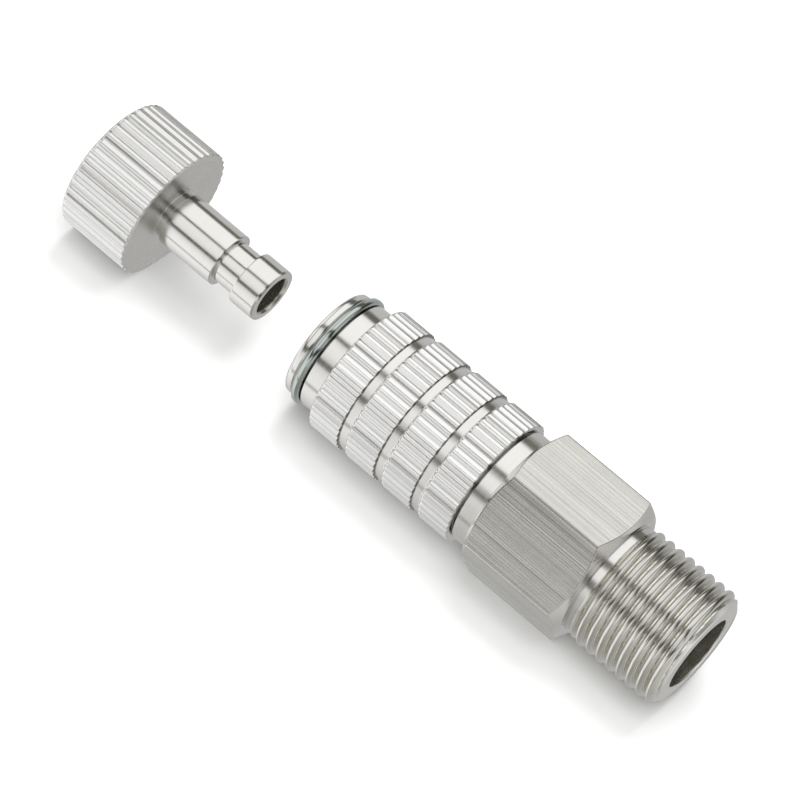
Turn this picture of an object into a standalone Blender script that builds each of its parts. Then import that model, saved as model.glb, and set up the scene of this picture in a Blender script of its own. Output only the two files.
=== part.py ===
"""Quick disconnect coupler for a small air line: a knurled socket with a ball lock and a check
valve, and the knurled plug that slides into it.

Metres, +Z up. The common axis runs along X, with the plug at -X and the socket's threaded end
at +X. The origin is under the middle of the pair, level with the lowest point. Sizes below are
in millimetres. A station s is the distance along the axis from the socket's front lip, positive
towards the thread, and r is a radius from the axis.
"""

import math

import bmesh
import bpy
from mathutils import Matrix, Vector

MM = 0.001
NAME = "quick_disconnect_coupler"

# Driving dimensions
SOCKET_LENGTH = 35.05
PLUG_GAP = 5.2
PLUG_HEAD_LENGTH = 6.15
PLUG_HEAD_RADIUS = 5.4
PLUG_REACH = 9.75
SLEEVE_RADIUS = 5.25
STEM_RADIUS = 2.17
STEM_NECK = 0.55
GROOVE_FRONT = 5.55
GROOVE_REAR = 7.5
HEX_ACROSS_FLATS = 10.8
THREAD_MAJOR = 4.864
THREAD_PITCH = 0.907
THREAD_DEPTH = 0.581
THREAD_FLANK = 0.33
THREAD_CREST = 0.17
BALL_RADIUS = 0.8
BALL_COUNT = 6
SLEEVE_TRAVEL = 1.2
BALL_TRAVEL = 0.45
FIT = 0.1
SLIDE = 0.08

# Stations that several pieces share
BALL_STATION = 6.2
SLEEVE_FRONT = 3.07
SLEEVE_REAR = 16.24
COLLAR_FRONT = 16.5
HEX_FRONT = 17.65
HEX_REAR = 26.7
THREAD_START = 27.3
NOSE_END = 4.2
BARREL_REAR = 20.4
CHAMBER_START = 10.4
POPPET_FRONT = 8.3
FLANGE_FRONT = 10.8
FLANGE_REAR = 11.5
RETAINER_FRONT = 16.6
RETAINER_REAR = 17.6
RING_FRONT = 0.86
RING_REAR = 1.5
SEAL_STATION = 8.2
SEAL_ROOM = 0.7
LAND_END = 9.0
WASHER_REAR = 9.4
SEAT_FRONT = 16.05

# Radii that several pieces share
BORE = STEM_RADIUS + SLIDE
NOSE_RADIUS = 4.45
BARREL_RADIUS = 3.2
CHAMBER_RADIUS = 2.72
SLEEVE_BORE = NOSE_RADIUS + SLIDE
LAND_RADIUS = BARREL_RADIUS + FIT
THREAD_BORE = 2.9
PLUG_BORE = 1.5
WASHER_RADIUS = 4.42
BALL_OUT = STEM_RADIUS + BALL_RADIUS + SLIDE

AXIS_HEIGHT = PLUG_HEAD_RADIUS
PLUG_TIP = -PLUG_GAP
PLUG_FACE = PLUG_TIP - PLUG_REACH
PLUG_REAR = PLUG_FACE - PLUG_HEAD_LENGTH
PLUG_THREAD_END = PLUG_REAR + 5.0
MIDDLE = (PLUG_REAR + SOCKET_LENGTH) / 2

ROUND = 32
SMALL_ROUND = 24
COIL_SIDES = 12

NICKEL = ((0.62, 0.61, 0.57), 0.24, 1.0)
NICKEL_DARK = ((0.47, 0.46, 0.42), 0.3, 1.0)
STEEL = ((0.56, 0.57, 0.58), 0.16, 1.0)
SPRING_STEEL = ((0.5, 0.5, 0.5), 0.28, 1.0)
BRASS = ((0.72, 0.55, 0.28), 0.3, 1.0)
RUBBER = ((0.02, 0.02, 0.022), 0.55, 0.0)
FIBRE = ((0.42, 0.28, 0.2), 0.7, 0.0)


def clear_scene():
    for obj in list(bpy.data.objects):
        bpy.data.objects.remove(obj, do_unlink=True)


def new_collection(name):
    collection = bpy.data.collections.new(name)
    bpy.context.scene.collection.children.link(collection)
    return collection


def material(name, look):
    colour, roughness, metallic = look
    made = bpy.data.materials.new(name)
    made.use_nodes = True
    shader = made.node_tree.nodes["Principled BSDF"]
    shader.inputs["Base Color"].default_value = (*colour, 1.0)
    shader.inputs["Roughness"].default_value = roughness
    shader.inputs["Metallic"].default_value = metallic
    return made


def add_mesh_object(name, bm, collection):
    bmesh.ops.recalc_face_normals(bm, faces=bm.faces)
    mesh = bpy.data.meshes.new(name)
    bm.to_mesh(mesh)
    bm.free()
    obj = bpy.data.objects.new(name, mesh)
    collection.objects.link(obj)
    return obj


def place(obj, station, parent=None):
    """Puts a shape made about its own +Z axis onto the coupler's axis, with +Z turned to +X."""
    turn = Matrix.Rotation(math.pi / 2, 4, "Y")
    spot = Vector(((station - MIDDLE) * MM, 0, AXIS_HEIGHT * MM))
    obj.matrix_world = Matrix.Translation(spot) @ turn
    if parent is not None:
        obj.parent = parent
        obj.matrix_parent_inverse = parent.matrix_world.inverted()
    return obj


def finish_piece(obj, look, crease=35):
    obj.data.materials.clear()
    obj.data.materials.append(material(obj.name + "_finish", look))
    obj.data.shade_smooth()
    obj.data.set_sharp_from_angle(angle=math.radians(crease))
    return obj


def turned(name, profile, collection, steps=ROUND, start=0.0):
    """A turned solid from a closed loop of (radius, station) points, stations less the start.

    The stretch of the loop that lies on the axis makes no surface, so it is left open.
    """
    bm = bmesh.new()
    loop = [bm.verts.new((r * MM, 0, (s - start) * MM)) for r, s in profile]
    for first, second in zip(loop, loop[1:] + loop[:1]):
        if first.co.x > 0 or second.co.x > 0:
            bm.edges.new((first, second))
    mesh = bpy.data.meshes.new(name)
    bm.to_mesh(mesh)
    bm.free()
    obj = bpy.data.objects.new(name, mesh)
    collection.objects.link(obj)
    screw = obj.modifiers.new("turn", "SCREW")
    screw.axis = "Z"
    screw.steps = steps
    screw.render_steps = steps
    screw.use_merge_vertices = True
    screw.merge_threshold = 0.000001
    screw.use_normal_calculate = True
    return bake(obj)


def bake(obj):
    """Applies an object's modifiers, welds what touches and turns every face outwards."""
    bpy.context.view_layer.update()
    graph = bpy.context.evaluated_depsgraph_get()
    mesh = bpy.data.meshes.new_from_object(obj.evaluated_get(graph))
    obj.modifiers.clear()
    old = obj.data
    obj.data = mesh
    if isinstance(old, bpy.types.Mesh):
        bpy.data.meshes.remove(old)
    bm = bmesh.new()
    bm.from_mesh(mesh)
    bmesh.ops.remove_doubles(bm, verts=bm.verts, dist=0.00000002)
    bmesh.ops.recalc_face_normals(bm, faces=bm.faces)
    bm.to_mesh(mesh)
    bm.free()
    return obj


def combine(obj, tool, operation):
    boolean = obj.modifiers.new(operation.lower(), "BOOLEAN")
    boolean.operation = operation
    boolean.solver = "EXACT"
    boolean.object = tool
    tool.hide_render = True
    tool.display_type = "WIRE"
    return obj


def circle(radius, count):
    return [radius] * count


def fluted(radius, depth, count):
    """Radii round one section of a straight knurl: crest, root, crest, root."""
    return [radius - depth * (k % 2) for k in range(2 * count)]


def lofted(name, sections, collection, start=0.0, twist=0.0):
    """A closed solid through sections of (station, radii), with flat ends.

    With a twist, each point's station grows by that much per turn, held between the end stations.
    """
    low, high = sections[0][0], sections[-1][0]
    bm = bmesh.new()
    rows = []
    for station, radii in sections:
        count = len(radii)
        row = []
        for k, radius in enumerate(radii):
            angle = 2 * math.pi * k / count
            spot = min(max(station + twist * k / count, low), high)
            row.append(bm.verts.new(point(radius, angle, spot - start)))
        rows.append(row)
    for first, second in zip(rows, rows[1:]):
        for k in range(len(first) - 1):
            bm.faces.new((first[k], first[k + 1], second[k + 1], second[k]))
        if not twist:
            bm.faces.new((first[-1], first[0], second[0], second[-1]))
    if not twist:
        bm.faces.new(rows[0])
        bm.faces.new(rows[-1])
    return add_mesh_object(name, bm, collection)


def point(radius, angle, station):
    """A point in a piece's own axes, where +Z is the coupler's axis and -X is up."""
    return (radius * MM * math.cos(angle), radius * MM * math.sin(angle), station * MM)


def thread_radius(phase, major, depth):
    """Radius of a 55 degree thread at a phase from 0 to 1 through one pitch, with flat crests."""
    crest_end = THREAD_FLANK + THREAD_CREST
    if phase < THREAD_FLANK:
        return major - depth + depth * phase / THREAD_FLANK
    if phase < crest_end:
        return major
    if phase < crest_end + THREAD_FLANK:
        return major - depth * (phase - crest_end) / THREAD_FLANK
    return major - depth


def threaded_rod(name, low, high, major, chamfer_low, chamfer_high, collection, start=0.0, columns=20):
    """A threaded cylinder. Its rows run round the helix, so that crests and roots stay true edges.

    A chamfer is (radius at the end face, length), or None for a plain end.
    """
    crest_end = THREAD_FLANK + THREAD_CREST
    phases = (0, THREAD_FLANK, crest_end, crest_end + THREAD_FLANK)
    turns = math.ceil((high - low) / THREAD_PITCH) + 1
    stations = [low + (t + phase - 1) * THREAD_PITCH for t in range(turns + 1) for phase in phases]
    bm = bmesh.new()
    grid = []
    for station in stations:
        row = []
        for k in range(columns + 1):
            true = station + THREAD_PITCH * k / columns
            spot = min(max(true, low), high)
            phase = ((spot - low - THREAD_PITCH * k / columns) / THREAD_PITCH) % 1.0
            radius = thread_radius(phase, major, THREAD_DEPTH)
            radius = min(radius, end_limit(spot - low, chamfer_low), end_limit(high - spot, chamfer_high))
            row.append(bm.verts.new(point(radius, 2 * math.pi * k / columns, spot - start)))
        grid.append(row)
    for first, second in zip(grid, grid[1:]):
        for k in range(columns):
            bm.faces.new((first[k], first[k + 1], second[k + 1], second[k]))
    bmesh.ops.remove_doubles(bm, verts=bm.verts, dist=0.0000002)
    edges = [e for e in bm.edges if e.is_boundary]
    bmesh.ops.holes_fill(bm, edges=edges, sides=0)
    return add_mesh_object(name, bm, collection)


def end_limit(distance, chamfer):
    """The largest radius that an end chamfer leaves at a distance in from its end."""
    if chamfer is None or distance > chamfer[1]:
        return math.inf
    radius, length = chamfer
    outside = THREAD_MAJOR + 0.1
    return radius + distance / length * (outside - radius)


def hexagon_prism(name, across_flats, low, high, collection, start=0.0):
    bm = bmesh.new()
    length = (high - low) * MM
    radius = across_flats / math.sqrt(3) * MM
    bmesh.ops.create_cone(bm, cap_ends=True, segments=6, radius1=radius, radius2=radius, depth=length)
    bmesh.ops.translate(bm, verts=bm.verts, vec=(0, 0, (low - start) * MM + length / 2))
    return add_mesh_object(name, bm, collection)


def rod(name, radius, length, collection, segments=20):
    """A plain cutter cylinder about the origin, along its own Z."""
    bm = bmesh.new()
    bmesh.ops.create_cone(
        bm, cap_ends=True, segments=segments, radius1=radius * MM, radius2=radius * MM, depth=length * MM
    )
    return add_mesh_object(name, bm, collection)


def block(name, size, collection):
    bm = bmesh.new()
    bmesh.ops.create_cube(bm, size=1.0)
    bmesh.ops.scale(bm, verts=bm.verts, vec=[side * MM for side in size])
    return add_mesh_object(name, bm, collection)


def ring(name, inner, outer, low, high, collection, steps=SMALL_ROUND, edge=0.06):
    """A flat washer with small chamfers."""
    profile = [
        (inner, high),
        (inner, low),
        (outer - edge, low),
        (outer, low + edge),
        (outer, high - edge),
        (outer - edge, high),
    ]
    return turned(name, profile, collection, steps, start=low)


def o_ring(name, major, minor, collection):
    bm = bmesh.new()
    count = SMALL_ROUND
    sides = 6
    grid = []
    for i in range(count):
        turn = 2 * math.pi * i / count
        row = []
        for k in range(sides):
            angle = 2 * math.pi * k / sides
            row.append(bm.verts.new(point(major + minor * math.cos(angle), turn, minor * math.sin(angle))))
        grid.append(row)
    for first, second in zip(grid, grid[1:] + grid[:1]):
        for k in range(sides):
            following = (k + 1) % sides
            bm.faces.new((first[k], first[following], second[following], second[k]))
    return add_mesh_object(name, bm, collection)


def coil_spring(name, mean_radius, wire_radius, low, high, turns, collection):
    """A compression spring with closed end turns, as a poly curve about its own Z axis."""
    curve = bpy.data.curves.new(name, "CURVE")
    curve.dimensions = "3D"
    curve.bevel_depth = wire_radius * MM
    curve.bevel_resolution = 2
    curve.use_fill_caps = True
    spline = curve.splines.new("POLY")
    count = turns * COIL_SIDES + 1
    spline.points.add(count - 1)
    solid = 2.1 * wire_radius
    travel = high - low - 2 * wire_radius
    for i in range(count):
        turn = i / COIL_SIDES
        share = min(max((turn - 1) / (turns - 2), 0), 1)
        ends = min(turn, 1) + max(turn - (turns - 1), 0)
        station = wire_radius + solid * ends + (travel - 2 * solid) * share
        angle = 2 * math.pi * turn
        spline.points[i].co = (*point(mean_radius, angle, station), 1)
    obj = bpy.data.objects.new(name, curve)
    collection.objects.link(obj)
    return obj


# The socket's fixed pieces


def chamfered_hexagon(cutters, start):
    """The spanner hexagon, with a 30 degree chamfer turned on each end."""
    prism = hexagon_prism("hex_prism", HEX_ACROSS_FLATS, HEX_FRONT, HEX_REAR, cutters, start)
    face = 5.0
    reach = HEX_ACROSS_FLATS / math.sqrt(3) + 0.1
    drop = (reach - face) * math.tan(math.radians(30))
    profile = [
        (0, HEX_REAR),
        (0, HEX_FRONT),
        (face, HEX_FRONT),
        (reach, HEX_FRONT + drop),
        (reach, HEX_REAR - drop),
        (face, HEX_REAR),
    ]
    chamfers = turned("hex_chamfers", profile, cutters, start=start)
    return bake(combine(prism, chamfers, "INTERSECT"))


def make_hex_body(parts, cutters):
    start = COLLAR_FRONT
    collar = 4.78
    relief = 4.62
    edge = 0.15
    core = THREAD_MAJOR - THREAD_DEPTH - 0.2
    core_end = HEX_REAR + 1.5
    neck = [
        (0, core_end),
        (0, COLLAR_FRONT),
        (collar - edge, COLLAR_FRONT),
        (collar, COLLAR_FRONT + edge),
        (collar, HEX_FRONT + 0.5),
        (relief, HEX_FRONT + 1.0),
        (relief, THREAD_START),
        (core, THREAD_START + 0.1),
        (core, core_end),
    ]
    body = turned("hex_body", neck, parts, start=start)
    prism = chamfered_hexagon(cutters, start)
    low = THREAD_START - 0.3
    run_out = (4.1, 0.7)
    lead_in = (3.95, 0.95)
    thread = threaded_rod("male_thread", low, SOCKET_LENGTH, THREAD_MAJOR, run_out, lead_in, cutters, start)
    spigot_end = BARREL_REAR + 0.6
    countersink = 0.3
    beyond = 1.0
    passage = [
        (0, SOCKET_LENGTH + beyond),
        (0, COLLAR_FRONT - beyond),
        (LAND_RADIUS, COLLAR_FRONT - beyond),
        (LAND_RADIUS, spigot_end),
        (THREAD_BORE, spigot_end),
        (THREAD_BORE, SOCKET_LENGTH - countersink),
        (THREAD_BORE + countersink, SOCKET_LENGTH),
        (THREAD_BORE + countersink + beyond, SOCKET_LENGTH + beyond),
    ]
    hollow = turned("passage_cutter", passage, cutters, start=start)
    for tool, operation in ((prism, "UNION"), (thread, "UNION"), (hollow, "DIFFERENCE")):
        combine(body, tool, operation)
    return place(finish_piece(bake(body), NICKEL, 25), start)


def make_barrel(parts, cutters):
    lip = 4.4
    edge = 0.15
    tail_edge = 0.2
    mouth = 0.45
    ring_floor = 3.95
    seal_floor = 2.86
    clip_floor = CHAMBER_RADIUS + 0.22
    clip_front = RETAINER_REAR + 0.1
    clip_rear = RETAINER_REAR + 0.7
    profile = [
        (BORE, CHAMBER_START - 0.5),
        (BORE, SEAL_STATION + SEAL_ROOM / 2),
        (seal_floor, SEAL_STATION + SEAL_ROOM / 2),
        (seal_floor, SEAL_STATION - SEAL_ROOM / 2),
        (BORE, SEAL_STATION - SEAL_ROOM / 2),
        (BORE, mouth),
        (BORE + mouth, 0),
        (lip - edge, 0),
        (lip, edge),
        (lip, RING_FRONT - FIT),
        (ring_floor, RING_FRONT - FIT),
        (ring_floor, RING_REAR + FIT),
        (NOSE_RADIUS, RING_REAR + FIT),
        (NOSE_RADIUS, NOSE_END - edge),
        (NOSE_RADIUS - edge, NOSE_END),
        (BARREL_RADIUS, NOSE_END),
        (BARREL_RADIUS, BARREL_REAR - tail_edge),
        (BARREL_RADIUS - tail_edge, BARREL_REAR),
        (CHAMBER_RADIUS, BARREL_REAR),
        (CHAMBER_RADIUS, clip_rear),
        (clip_floor, clip_rear),
        (clip_floor, clip_front),
        (CHAMBER_RADIUS, clip_front),
        (CHAMBER_RADIUS, CHAMBER_START),
    ]
    barrel = turned("barrel", profile, parts)
    pocket_length = 12.0
    pocket_middle = BORE - 0.6 + pocket_length / 2
    pocket = rod("ball_pocket_cutter", BALL_RADIUS + FIT / 2, pocket_length, cutters, 12)
    for k in range(BALL_COUNT):
        turn = Matrix.Rotation(ball_angle(k), 4, "Z") @ Matrix.Rotation(math.pi / 2, 4, "Y")
        cutter = bpy.data.objects.new(f"ball_pocket_cutter_{k + 1}", pocket.data)
        cutters.objects.link(cutter)
        outwards = Vector(point(pocket_middle, ball_angle(k), BALL_STATION))
        cutter.matrix_world = Matrix.Translation(outwards) @ turn
        combine(barrel, cutter, "DIFFERENCE")
    return place(finish_piece(bake(barrel), NICKEL), 0)


def make_stop_ring(parts, cutters):
    """The spring ring that stops the sleeve's travel, split at the bottom."""
    inner = 4.03
    outer = 4.72
    gap_width = 0.8
    stop = ring("stop_ring", inner, outer, RING_FRONT, RING_REAR, parts, ROUND, 0.12)
    gap = block("ring_gap_cutter", (4, gap_width, 4), cutters)
    gap.location = ((inner + outer) / 2 * MM, 0, 0)
    combine(stop, gap, "DIFFERENCE")
    return place(finish_piece(bake(stop), NICKEL_DARK), RING_FRONT)


def make_tip_seal(parts):
    return place(finish_piece(o_ring("tip_seal", 2.54, 0.27, parts), RUBBER), SEAL_STATION)


def make_barrel_gasket(parts):
    low = BARREL_REAR + FIT
    gasket = ring("barrel_gasket", 2.75, 3.24, low, low + 0.4, parts)
    return place(finish_piece(gasket, FIBRE), low)


def make_spring_seat(parts):
    seat = ring("spring_seat", LAND_RADIUS, WASHER_RADIUS, SEAT_FRONT, COLLAR_FRONT - FIT, parts)
    return place(finish_piece(seat, STEEL), SEAT_FRONT)


def make_valve_retainer(parts, cutters):
    """The perforated disc that guides the poppet's tail."""
    guide = 0.95
    disc = ring("valve_retainer", guide, CHAMBER_RADIUS - FIT, RETAINER_FRONT, RETAINER_REAR, parts)
    holes = 4
    hole_circle = 1.75
    flow_hole = rod("flow_hole_cutter", 0.45, 4, cutters, 12)
    for k in range(holes):
        cutter = bpy.data.objects.new(f"flow_hole_cutter_{k + 1}", flow_hole.data)
        cutters.objects.link(cutter)
        cutter.location = point(hole_circle, 2 * math.pi * k / holes, (RETAINER_REAR - RETAINER_FRONT) / 2)
        combine(disc, cutter, "DIFFERENCE")
    return place(finish_piece(bake(disc), BRASS), RETAINER_FRONT)


def make_retainer_clip(parts, cutters):
    low = RETAINER_REAR + 0.18
    inner = 2.2
    outer = CHAMBER_RADIUS + 0.14
    gap_width = 1.2
    clip = ring("retainer_clip", inner, outer, low, low + 0.4, parts)
    gap = block("clip_gap_cutter", (4, gap_width, 4), cutters)
    gap.location = (-2.6 * MM, 0, 0)
    combine(clip, gap, "DIFFERENCE")
    return place(finish_piece(bake(clip), SPRING_STEEL), low)


# The sleeve and its lock


def make_sleeve(parts, cutters):
    """The pull sleeve: four straight-knurled bands with narrow grooves between them."""
    flutes = 42
    depth = 0.16
    bands = 4
    groove = 0.72
    floor = 5.03
    soft = 0.14
    length = SLEEVE_REAR - SLEEVE_FRONT
    band = (length - (bands - 1) * groove) / bands
    sections = []
    for k in range(bands):
        low = SLEEVE_FRONT + k * (band + groove)
        sections.append((low, circle(floor, 2 * flutes)))
        sections.append((low + soft, fluted(SLEEVE_RADIUS, depth, flutes)))
        sections.append((low + band - soft, fluted(SLEEVE_RADIUS, depth, flutes)))
        sections.append((low + band, circle(floor, 2 * flutes)))
    sleeve = lofted("sleeve", sections, parts, SLEEVE_FRONT)
    slope = BALL_TRAVEL / SLEEVE_TRAVEL
    clear = (BALL_RADIUS + FIT / 2) * math.sqrt(1 + slope * slope)
    cone = BALL_OUT + clear
    cone_front = 5.93
    cone_front_radius = cone - slope * (cone_front - BALL_STATION)
    cone_rear = BALL_STATION + (cone - LAND_RADIUS) / slope
    profile = [
        (0, SLEEVE_REAR + 1),
        (0, SLEEVE_FRONT - 1),
        (SLEEVE_BORE + 1.15, SLEEVE_FRONT - 1),
        (SLEEVE_BORE, SLEEVE_FRONT + 0.15),
        (SLEEVE_BORE, cone_front + cone_front_radius - SLEEVE_BORE),
        (cone_front_radius, cone_front),
        (LAND_RADIUS, cone_rear),
        (LAND_RADIUS, LAND_END),
        (SLEEVE_BORE, LAND_END),
        (SLEEVE_BORE, SLEEVE_REAR + 1),
    ]
    hollow = turned("sleeve_bore_cutter", profile, cutters, ROUND, SLEEVE_FRONT)
    combine(sleeve, hollow, "DIFFERENCE")
    return place(finish_piece(bake(sleeve), NICKEL, 25), SLEEVE_FRONT)


def make_spring_front_washer(parts):
    low = LAND_END + SLIDE
    washer = ring("spring_front_washer", LAND_RADIUS, WASHER_RADIUS, low, WASHER_REAR, parts)
    return place(finish_piece(washer, STEEL), low)


def make_sleeve_spring(parts):
    low = WASHER_REAR + SLIDE
    high = SEAT_FRONT - SLIDE
    spring = coil_spring("sleeve_spring", 3.85, 0.25, low, high, 6, parts)
    spring.data.materials.append(material("sleeve_spring_finish", SPRING_STEEL))
    return place(spring, low)


def ball_angle(k):
    return 2 * math.pi * (k + 0.5) / BALL_COUNT


def make_balls(parts):
    """The locking balls, each about its own centre in its pocket, in the released place."""
    bm = bmesh.new()
    bmesh.ops.create_uvsphere(bm, u_segments=10, v_segments=7, radius=BALL_RADIUS * MM)
    mesh = bpy.data.meshes.new("locking_ball")
    bm.to_mesh(mesh)
    bm.free()
    mesh.shade_smooth()
    mesh.materials.append(material("ball_finish", STEEL))
    balls = []
    for k in range(BALL_COUNT):
        ball = bpy.data.objects.new(f"locking_ball_{k + 1}", mesh)
        parts.objects.link(ball)
        place(ball, 0)
        spot = ball.matrix_world @ Vector(point(BALL_OUT, ball_angle(k), BALL_STATION))
        ball.matrix_world = Matrix.Translation(spot)
        balls.append(ball)
    return balls


# The check valve


def make_poppet(parts, cutters):
    """The valve poppet: a slotted push tube in front, a sealing flange and a guided tail."""
    tail = 0.85
    profile = [
        (0.8, POPPET_FRONT + 1.8),
        (0.8, POPPET_FRONT),
        (1.6, POPPET_FRONT),
        (1.6, FLANGE_FRONT),
        (2.5, FLANGE_FRONT),
        (2.5, FLANGE_REAR),
        (tail, FLANGE_REAR + 0.2),
        (tail, RETAINER_FRONT + 0.4),
        (0, RETAINER_FRONT + 0.6),
        (0, POPPET_FRONT + 2.1),
    ]
    poppet = turned("poppet", profile, parts, SMALL_ROUND, POPPET_FRONT)
    for k in range(2):
        slot = block(f"poppet_slot_cutter_{k + 1}", (5, 0.7, 2.2), cutters)
        slot.rotation_euler.z = math.pi / 2 * k
        combine(poppet, slot, "DIFFERENCE")
    return place(finish_piece(bake(poppet), BRASS), POPPET_FRONT)


def make_poppet_seal(parts):
    return place(finish_piece(o_ring("poppet_seal", 2.05, 0.35, parts), RUBBER), FLANGE_FRONT - 0.45)


def make_valve_spring(parts):
    low = FLANGE_REAR + 0.1
    high = RETAINER_FRONT - 0.1
    spring = coil_spring("valve_spring", 1.95, 0.2, low, high, 5, parts)
    spring.data.materials.append(material("valve_spring_finish", SPRING_STEEL))
    return place(spring, low)


# The plug


def plug_stem(cutters):
    """The stem that goes into the socket, with the groove that the balls lock into."""
    neck = 1.95
    groove = 1.72
    bevel = 0.12
    tip_bevel = 0.2
    root = PLUG_FACE - 0.6
    shoulder = PLUG_FACE + STEM_NECK
    groove_front = PLUG_FACE + GROOVE_FRONT
    groove_rear = PLUG_FACE + GROOVE_REAR
    profile = [
        (STEM_RADIUS - tip_bevel, PLUG_TIP),
        (STEM_RADIUS, PLUG_TIP - tip_bevel),
        (STEM_RADIUS, groove_rear + bevel),
        (STEM_RADIUS - bevel, groove_rear),
        (groove, groove_rear),
        (groove, groove_front),
        (STEM_RADIUS - bevel, groove_front),
        (STEM_RADIUS, groove_front - bevel),
        (STEM_RADIUS, shoulder + bevel),
        (STEM_RADIUS - bevel, shoulder),
        (neck, shoulder),
        (neck, root),
        (0, root),
        (0, PLUG_TIP),
    ]
    return turned("plug_stem", profile, cutters, ROUND, PLUG_REAR)


def plug_passage(cutters):
    """The plug's way through: a mouth, the threaded hole's minor bore and the bore of the stem."""
    minor = THREAD_MAJOR - THREAD_DEPTH
    step = PLUG_THREAD_END + 0.2
    beyond = 1.0
    profile = [
        (0, PLUG_TIP + beyond),
        (0, PLUG_REAR - beyond),
        (THREAD_MAJOR + 0.55, PLUG_REAR - beyond),
        (minor, PLUG_REAR + 0.45),
        (minor + 0.05, step),
        (PLUG_BORE, step),
        (PLUG_BORE, PLUG_TIP - 0.15),
        (PLUG_BORE + 0.15 + beyond, PLUG_TIP + beyond),
    ]
    return turned("plug_passage_cutter", profile, cutters, ROUND, PLUG_REAR)


def make_plug_body(parts, cutters):
    flutes = 40
    depth = 0.17
    edge = 0.1
    columns = 2 * flutes
    inner = PLUG_HEAD_RADIUS - depth - 0.05
    sections = [
        (PLUG_REAR, circle(inner - 0.15, columns)),
        (PLUG_REAR + 0.15, fluted(inner + depth, depth, flutes)),
        (PLUG_REAR + 0.25, fluted(PLUG_HEAD_RADIUS, depth, flutes)),
        (PLUG_FACE - edge, fluted(PLUG_HEAD_RADIUS, depth, flutes)),
        (PLUG_FACE, circle(inner, columns)),
    ]
    plug = lofted("plug_body", sections, parts, PLUG_REAR)
    stem = plug_stem(cutters)
    low = PLUG_REAR - 0.4
    major = THREAD_MAJOR + 0.06
    thread = threaded_rod("female_thread", low, PLUG_THREAD_END, major, None, None, cutters, PLUG_REAR)
    hollow = plug_passage(cutters)
    for tool, operation in ((stem, "UNION"), (thread, "DIFFERENCE"), (hollow, "DIFFERENCE")):
        combine(plug, tool, operation)
    return place(finish_piece(bake(plug), NICKEL, 25), PLUG_REAR)


def make_plug_gasket(parts):
    """The sealing washer at the bottom of the plug's threaded hole."""
    low = PLUG_REAR + 4.55
    return place(finish_piece(ring("plug_gasket", 2.2, 4.1, low, low + 0.55, parts), RUBBER), low)


def main():
    clear_scene()
    parts = new_collection(NAME)
    cutters = new_collection("cutters")
    cutters.hide_render = True
    make_hex_body(parts, cutters)
    make_barrel(parts, cutters)
    make_stop_ring(parts, cutters)
    make_tip_seal(parts)
    make_barrel_gasket(parts)
    make_spring_seat(parts)
    make_valve_retainer(parts, cutters)
    make_retainer_clip(parts, cutters)
    make_sleeve(parts, cutters)
    make_spring_front_washer(parts)
    make_sleeve_spring(parts)
    make_balls(parts)
    make_poppet(parts, cutters)
    make_poppet_seal(parts)
    make_valve_spring(parts)
    make_plug_body(parts, cutters)
    make_plug_gasket(parts)
    for cutter in list(cutters.objects):
        cutter.hide_render = True
        cutter.display_type = "WIRE"


main()
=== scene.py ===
"""The looks of the quick disconnect coupler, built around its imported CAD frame.

Lengths are in millimetres until a point is made. A station is the distance along the axis from the
socket's front lip, positive towards the male thread, and r is a radius from the axis. An angle of 0
points straight down and a quarter turn points along +Y.
"""

import math

import bmesh
import bpy
from mathutils import Matrix, Vector


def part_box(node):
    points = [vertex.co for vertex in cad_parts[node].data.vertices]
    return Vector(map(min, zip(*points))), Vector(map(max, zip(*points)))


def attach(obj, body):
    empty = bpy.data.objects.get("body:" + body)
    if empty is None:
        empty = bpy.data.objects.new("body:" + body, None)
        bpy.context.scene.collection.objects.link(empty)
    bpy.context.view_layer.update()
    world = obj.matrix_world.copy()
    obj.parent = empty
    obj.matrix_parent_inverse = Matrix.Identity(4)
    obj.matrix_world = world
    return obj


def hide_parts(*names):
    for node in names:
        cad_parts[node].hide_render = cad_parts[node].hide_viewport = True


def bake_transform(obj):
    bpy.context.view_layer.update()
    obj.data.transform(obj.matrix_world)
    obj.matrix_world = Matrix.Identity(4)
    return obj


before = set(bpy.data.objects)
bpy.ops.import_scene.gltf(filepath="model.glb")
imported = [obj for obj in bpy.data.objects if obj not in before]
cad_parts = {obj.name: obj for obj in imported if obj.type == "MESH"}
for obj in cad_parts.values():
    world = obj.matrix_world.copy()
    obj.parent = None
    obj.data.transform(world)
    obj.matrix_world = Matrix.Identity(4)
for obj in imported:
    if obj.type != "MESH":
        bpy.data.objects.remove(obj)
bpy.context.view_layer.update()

MM = 0.001
TURN = 2 * math.pi
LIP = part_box("barrel")[0].x / MM
AXIS = (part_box("barrel")[0].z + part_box("barrel")[1].z) / 2 / MM

# The camera, and the point that it looks at
CAMERA_AZIMUTH = 21.76
CAMERA_ELEVATION = 46.09
CAMERA_ROLL = 23.955
CAMERA_DISTANCE = 300.0
CAMERA_AIM = (-0.0281, 0.1856, 5.5046)
CAMERA_LENS = 190.35

# Sizes that more than one piece uses
PITCH = 0.907
THREAD_MAJOR = 4.864
THREAD_DEPTH = 0.58
BORE = 2.25
CHAMBER = 2.72
BARREL_OUT = 3.2
SLEEVE_BORE = 4.53
HEX_SIDES = 6
BALL_COUNT = 6


def span(node):
    """The first and last station of a CAD node."""
    low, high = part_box(node)
    return low.x / MM - LIP, high.x / MM - LIP


def reach(node):
    """The largest radius of a round CAD node."""
    low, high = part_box(node)
    return (high.y - low.y) / 2 / MM


# Meshes


def point(radius, angle, station):
    across = radius * math.sin(angle)
    up = AXIS - radius * math.cos(angle)
    return ((LIP + station) * MM, across * MM, up * MM)


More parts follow.
